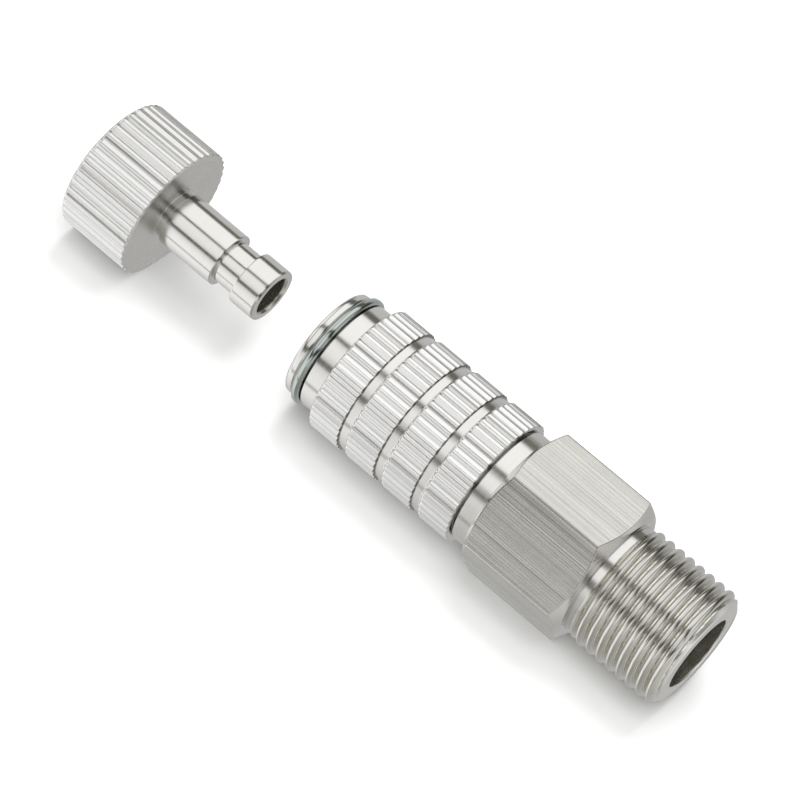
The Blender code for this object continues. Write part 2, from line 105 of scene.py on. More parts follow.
def softened(corners, steps=3):
    """A closed profile of (r, station, size) corners, each turned into an arc that size from it.

    A point just outside each arc holds the flat beside it flat. A size of 0 leaves a corner as it is.
    """
    made = []
    for i, (r, s, size) in enumerate(corners):
        if not size:
            made.append((r, s))
            continue
        here = Vector((r, s))
        back = Vector(corners[i - 1][:2]) - here
        ahead = Vector(corners[(i + 1) % len(corners)][:2]) - here
        shortest = min(back.length, ahead.length)
        cut = min(size, 0.4 * shortest)
        hold = min(1.5 * size, 0.48 * shortest)
        back.normalize()
        ahead.normalize()
        made.append(tuple(here + back * hold))
        for k in range(steps + 1):
            t = k / steps
            made.append(tuple(here + back * cut * (1 - t) ** 2 + ahead * cut * t**2))
        made.append(tuple(here + ahead * hold))
    return made


def even(count):
    return [TURN * k / count for k in range(count)]


def finish_mesh(name, vertices, faces, crease):
    mesh = bpy.data.meshes.new(name)
    mesh.from_pydata(vertices, [], faces)
    bm = bmesh.new()
    bm.from_mesh(mesh)
    bmesh.ops.remove_doubles(bm, verts=bm.verts, dist=1e-8)
    bmesh.ops.recalc_face_normals(bm, faces=bm.faces)
    bm.to_mesh(mesh)
    bm.free()
    mesh.shade_smooth()
    mesh.set_sharp_from_angle(angle=math.radians(crease))
    obj = bpy.data.objects.new(name, mesh)
    bpy.context.scene.collection.objects.link(obj)
    return obj


def lathe(name, section, angles, crease=38):
    """A closed solid. section(angle) is its profile there, a loop with as many points at each angle."""
    columns = [section(angle) for angle in angles]
    count = len(columns[0])
    vertices = [point(r, angle, s) for angle, column in zip(angles, columns) for r, s in column]
    faces = []
    for c in range(len(angles)):
        d = (c + 1) % len(angles)
        for i in range(count):
            j = (i + 1) % count
            if columns[c][i][0] > 0 or columns[c][j][0] > 0:
                faces.append((c * count + i, c * count + j, d * count + j, d * count + i))
    return finish_mesh(name, vertices, faces, crease)


def round_piece(name, corners, columns=144):
    """A plain turned piece from its corners."""
    profile = softened(corners)
    return lathe(name, lambda angle: profile, even(columns))


def sweep(name, rows):
    """A closed solid through rows of points, with a flat cap at each end."""
    crease = 50
    sides = len(rows[0])
    vertices = [spot for row in rows for spot in row]
    faces = []
    for i in range(len(rows) - 1):
        for k in range(sides):
            m = (k + 1) % sides
            faces.append((i * sides + k, i * sides + m, (i + 1) * sides + m, (i + 1) * sides + k))
    faces.append(tuple(range(sides)))
    faces.append(tuple(range((len(rows) - 1) * sides, len(rows) * sides)))
    return finish_mesh(name, vertices, faces, crease)


def split_ring(name, corners, middle, gap, columns=140):
    """A ring with a gap of that width, whose middle is at an angle."""
    profile = softened(corners)
    half = gap / 2 / corners[0][0]
    turn = TURN - 2 * half
    angles = [middle + half + turn * k / columns for k in range(columns + 1)]
    return sweep(name, [[point(r, angle, s) for r, s in profile] for angle in angles])


def coil(name, mean, wire, low, high, turns):
    """A compression spring with closed end turns and flat wire ends."""
    sides = 14
    per_turn = 56
    solid = 2.1 * wire
    free = high - low - 2 * wire - 2 * solid
    rise = Vector((mean * TURN, free / (turns - 2))).normalized()
    rows = []
    for i in range(turns * per_turn + 1):
        turn = i / per_turn
        share = min(max((turn - 1) / (turns - 2), 0), 1)
        ends = min(turn, 1) + max(turn - (turns - 1), 0)
        middle = low + wire + solid * ends + free * share
        row = []
        for k in range(sides):
            angle = TURN * k / sides
            out = wire * math.cos(angle)
            lean = wire * math.sin(angle) * rise.y / mean
            along = wire * math.sin(angle) * rise.x
            row.append(point(mean + out, TURN * turn - lean, middle + along))
        rows.append(row)
    return sweep(name, rows)


def cylinder_cutter(name, radius, length, matrix):
    sides = 32
    bm = bmesh.new()
    bmesh.ops.create_cone(
        bm, cap_ends=True, segments=sides, radius1=radius * MM, radius2=radius * MM, depth=length * MM
    )
    return cutter(name, bm, matrix)


def box_cutter(name, size, matrix):
    bm = bmesh.new()
    bmesh.ops.create_cube(bm, size=1.0)
    bmesh.ops.scale(bm, verts=bm.verts, vec=[side * MM for side in size])
    return cutter(name, bm, matrix)


def cutter(name, bm, matrix):
    mesh = bpy.data.meshes.new(name)
    bmesh.ops.transform(bm, matrix=matrix, verts=bm.verts)
    bm.to_mesh(mesh)
    bm.free()
    obj = bpy.data.objects.new(name, mesh)
    bpy.context.scene.collection.objects.link(obj)
    return obj


def cut(obj, cutters):
    """Takes the cutters out of a piece, applies the cuts and removes the cutters."""
    crease = 38
    for tool in cutters:
        boolean = obj.modifiers.new("cut", "BOOLEAN")
        boolean.operation = "DIFFERENCE"
        boolean.solver = "EXACT"
        boolean.object = tool
    bpy.context.view_layer.update()
    graph = bpy.context.evaluated_depsgraph_get()
    mesh = bpy.data.meshes.new_from_object(obj.evaluated_get(graph))
    obj.modifiers.clear()
    obj.data = mesh
    for tool in cutters:
        bpy.data.objects.remove(tool, do_unlink=True)
    mesh.shade_smooth()
    mesh.set_sharp_from_angle(angle=math.radians(crease))


def spot_on_axis(station):
    return Matrix.Translation(point(0, 0, station)) @ Matrix.Rotation(math.pi / 2, 4, "Y")


# Materials


class Nodes:
    """A node tree, and the node calls that the finishes and the light share."""

    def __init__(self, tree):
        self.tree = tree

    def add(self, kind, inputs=(), **settings):
        node = self.tree.nodes.new(kind)
        for key, value in settings.items():
            setattr(node, key, value)
        for key, value in dict(inputs).items():
            if isinstance(value, bpy.types.NodeSocket):
                self.tree.links.new(value, node.inputs[key])
            else:
                node.inputs[key].default_value = value
        return node

    def math(self, operation, *values):
        return self.add("ShaderNodeMath", dict(enumerate(values)), operation=operation).outputs[0]

    def vector(self, x, y, z):
        return self.add("ShaderNodeCombineXYZ", {0: x, 1: y, 2: z}).outputs[0]

    def noise(self, vector, scale, detail=2.0, roughness=0.5):
        inputs = {"Vector": vector, "Scale": scale, "Detail": detail, "Roughness": roughness}
        return self.add("ShaderNodeTexNoise", inputs).outputs["Fac"]

    def spread(self, value, low, high, to_low, to_high):
        inputs = {0: value, 1: low, 2: high, 3: to_low, 4: to_high}
        return self.add("ShaderNodeMapRange", inputs, clamp=True).outputs[0]

    def mixed(self, share, first, second):
        inputs = {0: share}
        for key, value in ((6, first), (7, second)):
            inputs[key] = value if isinstance(value, bpy.types.NodeSocket) else (*value, 1)
        return self.add("ShaderNodeMix", inputs, data_type="RGBA").outputs[2]

    def ramp(self, share, stops):
        """The brightness that a ramp of grey (position, brightness) stops has at a share of 0 to 1."""
        node = self.add("ShaderNodeValToRGB", {0: share})
        elements = node.color_ramp.elements
        while len(elements) < len(stops):
            elements.new(0.5)
        for element, (position, value) in zip(elements, stops):
            element.position = position
        for element, (position, value) in zip(elements, stops):
            element.color = (value, value, value, 1)
        return self.add("ShaderNodeRGBToBW", {0: node.outputs[0]}).outputs[0]


class Finish(Nodes):
    """A Principled material."""

    def __init__(self, name, colour, metallic, roughness):
        self.material = bpy.data.materials.new(name)
        self.material.use_nodes = True
        super().__init__(self.material.node_tree)
        self.shader = self.tree.nodes["Principled BSDF"]
        self.shader.inputs["Base Color"].default_value = (*colour, 1)
        self.shader.inputs["Metallic"].default_value = metallic
        self.shader.inputs["Roughness"].default_value = roughness

    def place(self):
        """The station, and how far across and up from the axis, of a point of a piece at rest."""
        source = self.add("ShaderNodeTexCoord").outputs["Object"]
        x, y, z = self.add("ShaderNodeSeparateXYZ", {0: source}).outputs
        station = self.math("MULTIPLY", x, 1 / MM)
        across = self.math("MULTIPLY", y, 1 / MM)
        up = self.math("SUBTRACT", self.math("MULTIPLY", z, 1 / MM), AXIS)
        return station, across, up

    def radius(self, across, up):
        """The distance from the axis."""
        squares = self.math("ADD", self.math("MULTIPLY", across, across), self.math("MULTIPLY", up, up))
        return self.math("SQRT", squares)

    def angle(self, across, up):
        """The turn round the axis."""
        return self.math("ARCTAN2", across, up)

    def bump(self, height, distance, strength=1.0, normal=None):
        inputs = {"Height": height, "Distance": distance * MM, "Strength": strength}
        if normal is not None:
            inputs["Normal"] = normal
        return self.add("ShaderNodeBump", inputs).outputs[0]

    def use(self, key, value):
        self.tree.links.new(value, self.shader.inputs[key])


def scaled(colour, factor):
    return tuple(factor * c for c in colour)


def turned_metal(name, colour, roughness, lines=1.0, dim=0.92, metallic=1.0, root=None):
    """Metal off a lathe: fine rings round the axis, faint smudges and a few tiny specks.

    A thread's roots are painted brighter, from the second radius of root down to the first: painted light
    in the roots.
    """
    n = Finish(name, colour, metallic, roughness)
    station, across, up = n.place()
    radius = n.radius(across, up)
    per_mm = 9.0
    slow = n.math("MULTIPLY", n.angle(across, up), 0.35)
    turned = n.vector(n.math("MULTIPLY", station, per_mm), n.math("MULTIPLY", radius, per_mm), slow)
    rings = n.noise(turned, 1.0, 4.0, 0.7)
    wide = n.vector(station, across, up)
    smudge = n.noise(wide, 0.45, 3.0, 0.55)
    speck = n.noise(wide, per_mm, 2.0, 0.5)
    tone = n.math("ADD", n.math("MULTIPLY", rings, 0.6), n.math("MULTIPLY", smudge, 0.4))
    n.use("Roughness", n.spread(tone, 0.3, 0.7, roughness * 0.75, roughness * 1.4))
    shade = n.mixed(n.spread(tone, 0.35, 0.65, 0, 1), scaled(colour, dim), colour)
    if root is not None:
        # Painted light: the thread's roots are painted brighter than the metal above them
        shade = n.mixed(n.spread(radius, *root, 1, 0), shade, ROOT_PAINTED_LIGHT)
    n.use("Base Color", shade)
    fine = n.bump(rings, 0.0008 * lines)
    n.use("Normal", n.bump(speck, 0.0004 * lines, 0.5, fine))
    return n.material


def brushed_metal(name, colour, roughness, depth, stretch=0.012, fine=7.0, dim=0.84, valley=None):
    """Metal drawn or knurled along the axis: long streaks of uneven depth and tone.

    A knurl's valleys, from the second radius of valley down to the first, are painted darker: painted
    shade in the valleys.
    """
    n = Finish(name, colour, 1.0, roughness)
    station, across, up = n.place()
    along = n.math("MULTIPLY", station, stretch)
    grain = n.noise(n.vector(along, across, up), fine, 3.0, 0.65)
    hair = n.noise(n.vector(n.math("MULTIPLY", along, 1.6), across, up), fine * 1.8, 2.0, 0.6)
    smudge = n.noise(n.vector(station, across, up), 0.5, 3.0, 0.55)
    lines = n.math("ADD", n.math("MULTIPLY", grain, 0.5), n.math("MULTIPLY", hair, 0.5))
    tone = n.math("ADD", n.math("MULTIPLY", lines, 0.93), n.math("MULTIPLY", smudge, 0.07))
    n.use("Roughness", n.spread(tone, 0.35, 0.65, roughness * 0.75, roughness * 1.35))
    shade = n.mixed(n.spread(tone, 0.38, 0.6, 0, 1), scaled(colour, dim), colour)
    if valley is not None:
        # Painted shade: the knurl's valleys are painted darker
        shade = n.mixed(n.spread(n.radius(across, up), *valley, 1, 0), shade, scaled(colour, 0.8))
    n.use("Base Color", shade)
    n.use("Normal", n.bump(lines, depth))
    return n.material


def rubber(name, colour):
    """Moulded rubber with a matt skin, fine grain and dull patches."""
    n = Finish(name, colour, 0.0, 0.6)
    wide = n.vector(*n.place())
    grain = n.noise(wide, 26.0, 3.0, 0.6)
    dull = n.noise(wide, 1.2, 3.0, 0.6)
    pale = tuple(2.2 * c + 0.004 for c in colour)
    n.use("Roughness", n.spread(dull, 0.3, 0.7, 0.42, 0.75))
    n.use("Base Color", n.mixed(n.spread(dull, 0.35, 0.7, 0, 1), colour, pale))
    n.use("Normal", n.bump(grain, 0.004))
    return n.material


def fibre(name, colour):
    """Pressed fibre sheet: short tangled strands in two tones."""
    n = Finish(name, colour, 0.0, 0.8)
    station, across, up = n.place()
    strands = n.noise(n.vector(n.math("MULTIPLY", station, 3.0), across, up), 11.0, 5.0, 0.7)
    n.use("Base Color", n.mixed(n.spread(strands, 0.35, 0.65, 0, 1), scaled(colour, 0.55), colour))
    n.use("Roughness", n.spread(strands, 0.3, 0.7, 0.65, 0.95))
    n.use("Normal", n.bump(strands, 0.012))
    return n.material


NICKEL = (0.80, 0.79, 0.76)
NICKEL_THREAD = (0.78, 0.77, 0.72)
# Painted light for a thread's roots
ROOT_PAINTED_LIGHT = (0.9, 0.89, 0.85)
NICKEL_BORE = (0.8, 0.78, 0.69)
NICKEL_KNURL = (0.965, 0.96, 0.95)
NICKEL_HEAD = (0.93, 0.925, 0.91)
# Painted shade for the walls at the rear of the sleeve's bands
NICKEL_WALL_PAINTED_SHADE = (0.24, 0.235, 0.21)
NICKEL_HEX = (0.94, 0.93, 0.87)
RING_STEEL = (0.55, 0.60, 0.58)
STEEL = (0.68, 0.69, 0.7)
SPRING_STEEL = (0.55, 0.55, 0.56)
BRASS = (0.76, 0.58, 0.31)
RUBBER = (0.018, 0.018, 0.02)
FIBRE = (0.38, 0.24, 0.17)
PAPER = (0.93, 0.93, 0.93)

# The radii between which the painted light in a thread's roots and the painted shade in a knurl's valleys
# change to the metal above them
THREAD_ROOT_PAINTED_LIGHT = (4.36, 4.66)
SLEEVE_VALLEY_PAINTED_SHADE = (5.085, 5.14)
HEAD_VALLEY_PAINTED_SHADE = (5.235, 5.29)

nickel = turned_metal("nickel_turned", NICKEL, 0.15, 0.6)
nickel_thread = turned_metal("nickel_threaded", NICKEL_THREAD, 0.18, 1.2, root=THREAD_ROOT_PAINTED_LIGHT)
nickel_bore = turned_metal("nickel_bore", NICKEL_BORE, 0.22, 9.0, 0.6, 0.95)
nickel_sleeve = brushed_metal(
    "nickel_sleeve_knurl", NICKEL_KNURL, 0.24, 0.0012, dim=0.9, valley=SLEEVE_VALLEY_PAINTED_SHADE
)
nickel_head = brushed_metal("nickel_head_knurl", NICKEL_HEAD, 0.24, 0.0012, valley=HEAD_VALLEY_PAINTED_SHADE)
# Painted shade on the rear walls of the sleeve's bands
nickel_wall_painted_shade = turned_metal("nickel_wall_painted_shade", NICKEL_WALL_PAINTED_SHADE, 0.3)
nickel_face = turned_metal("nickel_faced", NICKEL, 0.27, 1.0)
nickel_hex = brushed_metal("nickel_brushed", NICKEL_HEX, 0.24, 0.006, 0.0012, 10.0, 0.5)
ring_steel = turned_metal("ring_steel", RING_STEEL, 0.14, 1.5)
steel = turned_metal("bright_steel", STEEL, 0.12, 0.8)
spring_steel = turned_metal("spring_wire", SPRING_STEEL, 0.22, 1.5)
brass = turned_metal("bare_brass", BRASS, 0.24, 1.5)
black_rubber = rubber("black_rubber", RUBBER)
red_fibre = fibre("red_fibre", FIBRE)


def dress(obj, slot, *materials, where=None):
    """Gives a piece its finishes. The record slot is not used. where(r, station) picks a face's finish by
    number.
    """
    for material in materials:
        obj.data.materials.append(material)
    if where is not None:
        for face in obj.data.polygons:
            x, y, z = face.center
            radius = math.hypot(y / MM, z / MM - AXIS)
            face.material_index = where(radius, x / MM - LIP)


def stand_for(obj, node, body):
    """Puts a piece in the place of a CAD node, on a body."""
    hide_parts(node)
    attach(obj, body)


# Shapes that pieces share


def flute(angle, count, depth):
    """How far a straight knurl of that many ribs is cut below its crest at an angle."""
    half_width = 0.36
    rounding = 0.02
    arch = 0.06
    phase = (angle / TURN * count) % 1.0
    away = abs(phase - 0.5) / half_width
    valley = 1 - math.sqrt(away * away + rounding) if away < 1 else 0
    crown = arch * (2 * min(phase, 1 - phase)) ** 2
    return depth * max(valley, 0) + depth * crown


def thread_form(station, angle, start):
    """How far a rounded thread is cut below its crest. Its crests follow a helix from a start station."""
    root_half = 0.05
    fullness = 1.95
    phase = ((station - start) / PITCH - angle / TURN) % 1.0
    away = min(min(phase, 1 - phase) / (0.5 - root_half), 1)
    return THREAD_DEPTH * (1 - (1 - away**fullness) ** (1 / fullness))


def hexagon(flats):
    """The outline of a hexagon with rounded corners, as (angle, r), with a flat facing down."""
    corner = flats / math.sqrt(3)
    soft = 0.09
    soft_steps = 4
    flat_half = math.radians(28.6)
    flat_steps = 13
    outline = []
    for side in range(HEX_SIDES):
        middle = TURN * side / HEX_SIDES
        for k in range(-flat_steps, flat_steps + 1):
            turn = flat_half * k / flat_steps
            outline.append((middle + turn, flats / 2 / math.cos(turn)))
        edge = middle + TURN / HEX_SIDES / 2
        here = Vector((corner * math.cos(edge), corner * math.sin(edge)))
        one = Vector((math.cos(edge - math.radians(120)), math.sin(edge - math.radians(120))))
        two = Vector((math.cos(edge + math.radians(120)), math.sin(edge + math.radians(120))))
        for k in range(soft_steps + 1):
            t = k / soft_steps
            spot = here + one * soft * (1 - t) ** 2 + two * soft * t**2
            outline.append((math.atan2(spot.y, spot.x) % TURN, spot.length))
    return outline


# The socket's fixed pieces


def make_hex_body():
    front, rear = span("hex_body")
    hex_front = 17.65
    hex_rear = 26.7
    flats = 10.8
    face = 5.0
    collar = 4.78
    relief = 4.62
    thread_start = 27.3
    land = BARREL_OUT + 0.1
    land_end = 21.0
    bore = 2.98
    countersink = 0.1
    collar_front = front - 0.12
    end_radius = 4.12
    end_slope = 1.25
    run_out = 0.25
    overlap = 0.1
    rise = math.tan(math.radians(30))
    step = 0.03
    outline = hexagon(flats)
    radius_at = dict(outline)
    crests = 27.0 + 0.415 * PITCH

    def section(angle):
        wide = radius_at[angle]
        drop = (wide - face) * rise
        corners = [
            (collar, collar_front, 0.05),
            (collar, hex_front, 0.03),
            (face, hex_front, 0.04),
            (wide, hex_front + drop, 0.05),
            (wide, hex_rear - drop, 0.05),
            (face, hex_rear, 0.04),
            (relief, hex_rear, 0.05),
        ]
        length = rear - thread_start + overlap
        count = round(length / step)
        for k in range(count + 1):
            s = thread_start - overlap + length * k / count
            fade = min(max((s - thread_start) / run_out, 0), 1)
            r = THREAD_MAJOR - thread_form(s, angle, crests)
            r = relief + (r - relief) * fade
            r = min(r, end_radius + end_slope * (rear - s))
            corners.append((r, s, 0))
        corners[-1] = (corners[-1][0] - 0.04, rear, 0)
        corners += [
            (bore + countersink, rear, 0.04),
            (bore, rear - countersink, 0.04),
            (bore, land_end, 0.1),
            (land, land_end, 0.1),
            (land, collar_front, 0.1),
        ]
        return softened(corners, 2)

    def finish(r, s):
        if r < bore + 0.02 or (r < land + 0.05 and s < land_end + 0.05):
            return 2
        if s > thread_start:
            return 3
        drop = (r - face) * rise + 0.05
        return 1 if r > face and hex_front + drop < s < hex_rear - drop else 0

    obj = lathe("hex_body_fine", section, [angle for angle, r in outline], 32)
    dress(obj, "nickel", nickel, nickel_hex, nickel_bore, nickel_thread, where=finish)
    stand_for(obj, "hex_body", "root")


def make_barrel():
    lip = 4.4
    floor = 3.95
    nose = reach("barrel")
    nose_end = 4.2
    front, rear = span("barrel")
    mouth = 0.45
    groove_front = 0.8
    groove_rear = 1.6
    clip = 17.7
    clip_rear = 18.3
    clip_floor = CHAMBER + 0.22
    chamber_front = 10.4
    seal_front = 7.85
    seal_rear = 8.55
    seal_floor = 2.86
    bore_limit = 3.0
    pocket = 0.85
    pocket_length = 12
    pocket_middle = BORE - 0.6 + pocket_length / 2
    corners = [
        (BORE, mouth, 0.05),
        (BORE + mouth, front, 0.05),
        (lip, front, 0.3),
        (lip, groove_front, 0.26),
        (floor, groove_front, 0.04),
        (floor, groove_rear, 0.04),
        (nose, groove_rear, 0.06),
        (nose, nose_end, 0.1),
        (BARREL_OUT, nose_end, 0.08),
        (BARREL_OUT, rear, 0.12),
        (CHAMBER, rear, 0.08),
        (CHAMBER, clip_rear, 0.03),
        (clip_floor, clip_rear, 0.03),
        (clip_floor, clip, 0.03),
        (CHAMBER, clip, 0.03),
        (CHAMBER, chamber_front, 0.08),
        (BORE, chamber_front - 0.5, 0.08),
        (BORE, seal_rear, 0.03),
        (seal_floor, seal_rear, 0.04),
        (seal_floor, seal_front, 0.04),
        (BORE, seal_front, 0.03),
    ]
    obj = round_piece("barrel_fine", corners, 160)
    pockets = []
    for k in range(BALL_COUNT):
        angle = TURN * (k + 0.5) / BALL_COUNT
        turn = Matrix.Rotation(angle, 4, "X") @ Matrix.Rotation(math.pi, 4, "X")
        spot = Vector(point(pocket_middle, angle, ball_station()))
        matrix = Matrix.Translation(spot) @ turn
        pockets.append(cylinder_cutter(f"pocket_{k + 1}", pocket, pocket_length, matrix))
    cut(obj, pockets)
    dress(obj, "nickel", nickel, nickel_bore, where=lambda r, s: int(r < bore_limit and s > mouth + 0.05))
    stand_for(obj, "barrel", "root")


def ball_station():
    low, high = span("locking_ball_1")
    return (low + high) / 2


def make_stop_ring():
    front, rear = span("stop_ring")
    inner = 4.03
    outer = 4.72
    corners = [(inner, rear, 0.1), (inner, front, 0.1), (outer, front, 0.24), (outer, rear, 0.24)]
    obj = split_ring("stop_ring_fine", corners, middle=0.0, gap=0.8)
    dress(obj, "nickel_ring", ring_steel)
    stand_for(obj, "stop_ring", "root")


def make_ring(node, body, slot, material, inner):
    """A flat ring."""
    soft = 0.06
    front, rear = span(node)
    outer = reach(node)
    corners = [(inner, rear, soft), (inner, front, soft), (outer, front, soft), (outer, rear, soft)]
    obj = round_piece(node + "_fine", corners)
    dress(obj, slot, material)
    stand_for(obj, node, body)


def make_o_ring(node, body, slot, material):
    """A moulded ring with the faint flash line that its mould leaves.

    The CAD's section is a hexagon, which is narrower along the axis than this round one.
    """
    rounder = 1.12
    sides = 28
    front, rear = span(node)
    middle = (front + rear) / 2
    minor = rounder * (rear - front) / 2
    major = reach(node) - minor
    profile = []
    for k in range(sides):
        angle = -TURN * k / sides
        flash = 0.015 if k % (sides // 2) == 0 else 0
        profile.append((major + (minor + flash) * math.cos(angle), middle + minor * math.sin(angle)))
    obj = lathe(node + "_fine", lambda angle: profile, even(96))
    dress(obj, slot, material)
    stand_for(obj, node, body)


def make_valve_retainer():
    front, rear = span("valve_retainer")
    inner = 0.95
    outer = reach("valve_retainer")
    hole = 0.45
    hole_circle = 1.75
    hole_count = 4
    corners = [(inner, rear, 0.08), (inner, front, 0.08), (outer, front, 0.08), (outer, rear, 0.08)]
    obj = round_piece("valve_retainer_fine", corners)
    lengthwise = Matrix.Rotation(math.pi / 2, 4, "Y")
    holes = []
    for k in range(hole_count):
        spot = Vector(point(hole_circle, TURN * k / hole_count + math.pi / 2, (front + rear) / 2))
        holes.append(cylinder_cutter(f"hole_{k + 1}", hole, 4, Matrix.Translation(spot) @ lengthwise))
    cut(obj, holes)
    dress(obj, "brass", brass)
    stand_for(obj, "valve_retainer", "root")


def make_retainer_clip():
    front, rear = span("retainer_clip")
    inner = 2.2
    outer = reach("retainer_clip")
    corners = [(inner, rear, 0.1), (inner, front, 0.1), (outer, front, 0.1), (outer, rear, 0.1)]
    obj = split_ring("retainer_clip_fine", corners, middle=math.pi, gap=1.2, columns=110)
    dress(obj, "spring_steel", spring_steel)
    stand_for(obj, "retainer_clip", "root")


# The sleeve and its lock


def make_sleeve():
    ribs = 42
    depth = 0.16
    bands = 4
    groove = 0.66
    floor = 5.03
    bevel = 0.14
    square = 0.05
    front, rear = span("sleeve")
    crest = reach("sleeve")
    band = (rear - front - (bands - 1) * groove) / bands
    land = BARREL_OUT + 0.1
    land_front = 8.45
    land_end = 9.0
    cone_front = 5.45
    cone = 5.93
    cone_radius = 4.05

    def section(angle):
        r = crest - flute(angle, ribs, depth)
        corners = []
        for k in range(bands):
            low = front + k * (band + groove)
            corners += [
                (floor, low, 0.04),
                (r, low + bevel, 0.05),
                (r, low + band - square, 0.03),
                (floor, low + band, 0.04),
            ]
        corners += [
            (SLEEVE_BORE, rear, 0.1),
            (SLEEVE_BORE, land_end, 0.05),
            (land, land_end, 0.05),
            (land, land_front, 0.1),
            (cone_radius, cone, 0.05),
            (SLEEVE_BORE, cone_front, 0.05),
            (SLEEVE_BORE, front + 0.15, 0.05),
        ]
        return softened(corners, 2)

    def finish(r, s):
        within = (s - front) % (band + groove)
        if r < SLEEVE_BORE + 0.2:
            return 2
        if bevel < within < band - square:
            return 0
        if s > rear - 0.1:
            return 1
        # Index 3 is the dark nickel, painted shade on the rear wall of each band
        return 3 if abs(within - band) < square + 0.01 and r > floor + 0.02 else 1

    obj = lathe("sleeve_fine", section, even(ribs * 12), 40)
    dress(obj, "nickel", nickel_sleeve, nickel, nickel_bore, nickel_wall_painted_shade, where=finish)
    stand_for(obj, "sleeve", "sleeve")


def make_balls():
    for k in range(BALL_COUNT):
        node = f"locking_ball_{k + 1}"
        low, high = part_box(node)
        bm = bmesh.new()
        bmesh.ops.create_icosphere(bm, subdivisions=4, radius=(high.z - low.z) / 2)
        mesh = bpy.data.meshes.new(node + "_fine")
        bm.to_mesh(mesh)
        bm.free()
        mesh.shade_smooth()
        mesh.transform(Matrix.Translation((low + high) / 2))
        obj = bpy.data.objects.new(node + "_fine", mesh)
        bpy.context.scene.collection.objects.link(obj)
        dress(obj, "steel", steel)
        stand_for(obj, node, f"ball_{k + 1}")


def make_spring(node, mean, wire, turns):
    """A spring between the two bodies it pushes apart, of which the socket is one."""
    front, rear = span(node)
    obj = coil(node + "_fine", mean, wire, front, rear, turns)
    dress(obj, "spring_steel", spring_steel)
    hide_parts(node)
    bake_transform(obj)


# The check valve


def make_poppet():
    front, rear = span("poppet")
    bore = 0.8
    bore_length = 1.8
    drill_tip = 0.3
    stem = 1.6
    flange = 2.5
    flange_front = 10.8
    flange_rear = 11.5
    tail = 0.85
    slot_size = (5, 0.7, 2.2)
    corners = [
        (0, front + bore_length + drill_tip, 0),
        (bore, front + bore_length, 0.08),
        (bore, front, 0.08),
        (stem, front, 0.12),
        (stem, flange_front, 0.1),
        (flange, flange_front, 0.08),
        (flange, flange_rear, 0.1),
        (tail, flange_rear + 0.2, 0.1),
        (tail, rear - 0.2, 0.1),
        (0, rear, 0),
    ]
    obj = round_piece("poppet_fine", corners, 96)
    slots = []
    for k in range(2):
        turn = spot_on_axis(front) @ Matrix.Rotation(math.pi / 2 * k, 4, "Z")
        slots.append(box_cutter(f"slot_{k + 1}", slot_size, turn))
    cut(obj, slots)
    dress(obj, "brass", brass)
    stand_for(obj, "poppet", "poppet")


# The plug


def make_plug():
    ribs = 40
    depth = 0.17
    rear, tip = span("plug_body")
    crest = reach("plug_body")
    stem_length = 9.75
    face = tip - stem_length
    inner = crest - depth - 0.05
    stem = 2.17
    neck = 1.95
    neck_length = 0.55
    groove = 1.72
    groove_front = 5.55
    groove_rear = 7.5
    bore = 1.5
    thread_end = rear + 5.0
    gasket_seat = thread_end + 0.2
    thread_major = THREAD_MAJOR + 0.06
    minor = thread_major - THREAD_DEPTH
    mouth = 5.0
    mouth_slope = 1.1
    run_out = 0.2
    face_edge = 0.06
    step = 0.06

    def section(angle):
        r = crest - flute(angle, ribs, depth)
        corners = [
            (inner - 0.1, rear, 0.05),
            (r - 0.04, rear + 0.16, 0.05),
            (r, rear + 0.3, 0.04),
            (r, face - face_edge, 0.03),
            (inner, face, 0.02),
            (neck, face, 0.04),
            (neck, face + neck_length, 0.04),
            (stem, face + neck_length, 0.07),
            (stem, face + groove_front, 0.07),
            (groove, face + groove_front, 0.07),
            (groove, face + groove_rear, 0.07),
            (stem, face + groove_rear, 0.1),
            (stem, tip, 0.16),
            (bore + 0.16, tip, 0.04),
            (bore, tip - 0.2, 0.05),
            (bore, gasket_seat, 0.1),
            (minor + 0.05, gasket_seat, 0.05),
        ]
        count = round((thread_end - rear) / step)
        for k in range(count + 1):
            s = thread_end - (thread_end - rear) * k / count
            fade = min((thread_end - s) / run_out, 1)
            wide = minor + (THREAD_DEPTH - thread_form(s, angle, rear)) * fade
            wide = max(wide, mouth - mouth_slope * (s - rear))
            corners.append((wide, s, 0))
        return softened(corners, 2)

    def finish(r, s):
        if r < bore + 0.1 or (s < thread_end + 0.25 and r < mouth + 0.02):
            return 2
        if r > neck + 0.1 and face - face_edge < s < face + face_edge:
            return 3
        return 1 if rear + 0.16 < s < face - face_edge and r > inner - 0.2 else 0

    obj = lathe("plug_body_fine", section, even(ribs * 12), 40)
    dress(obj, "nickel", nickel, nickel_head, nickel_bore, nickel_face, where=finish)
    stand_for(obj, "plug_body", "plug")


# The studio


def make_floor():
    bm = bmesh.new()
    bmesh.ops.create_grid(bm, x_segments=8, y_segments=8, size=1.5)
    mesh = bpy.data.meshes.new("floor")
    bm.to_mesh(mesh)
    bm.free()
    floor = bpy.data.objects.new("floor", mesh)
    bpy.context.scene.collection.objects.link(floor)
    n = Finish("floor_paper", PAPER, 0.0, 0.9)
    n.shader.inputs["Specular IOR Level"].default_value = 0.1
    mesh.materials.append(n.material)
    floor.visible_glossy = False


